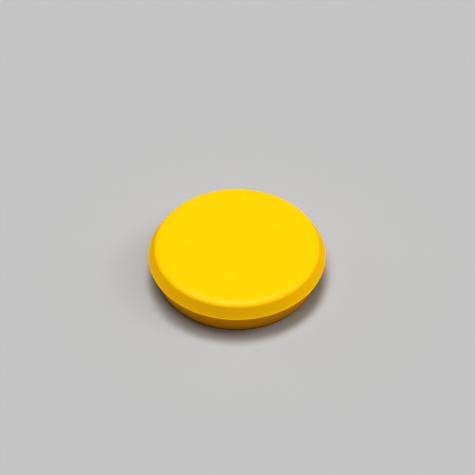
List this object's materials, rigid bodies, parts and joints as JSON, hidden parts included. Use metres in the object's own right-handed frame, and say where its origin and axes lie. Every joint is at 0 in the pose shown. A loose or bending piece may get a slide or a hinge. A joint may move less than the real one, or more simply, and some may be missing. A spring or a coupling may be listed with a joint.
{
  "type": "round board magnet",
  "caption": "Round holding magnet for a whiteboard or steel board: plastic casing with a flat top, a bevelled grip edge and a drawn-in lower wall, and a ferrite disc in its underside.",
  "frame": {"origin": "centre of the plane that the casing's foot rests on, on the turning axis", "axes": "+Z along the turning axis, out through the top face; the object is round, so +X and +Y are free"},
  "size_m": [0.032, 0.032, 0.007],
  "materials": {
    "yellow_plastic": "satin",
    "clear_adhesive": "gloss",
    "zinc_plated_steel": "satin",
    "dark_ferrite": "matte"
  },
  "bodies": {
    "root": {"casing": "yellow_plastic", "adhesive_layer": "clear_adhesive", "back_plate": "zinc_plated_steel", "ferrite_magnet": "dark_ferrite"}
  },
  "joints": []
}
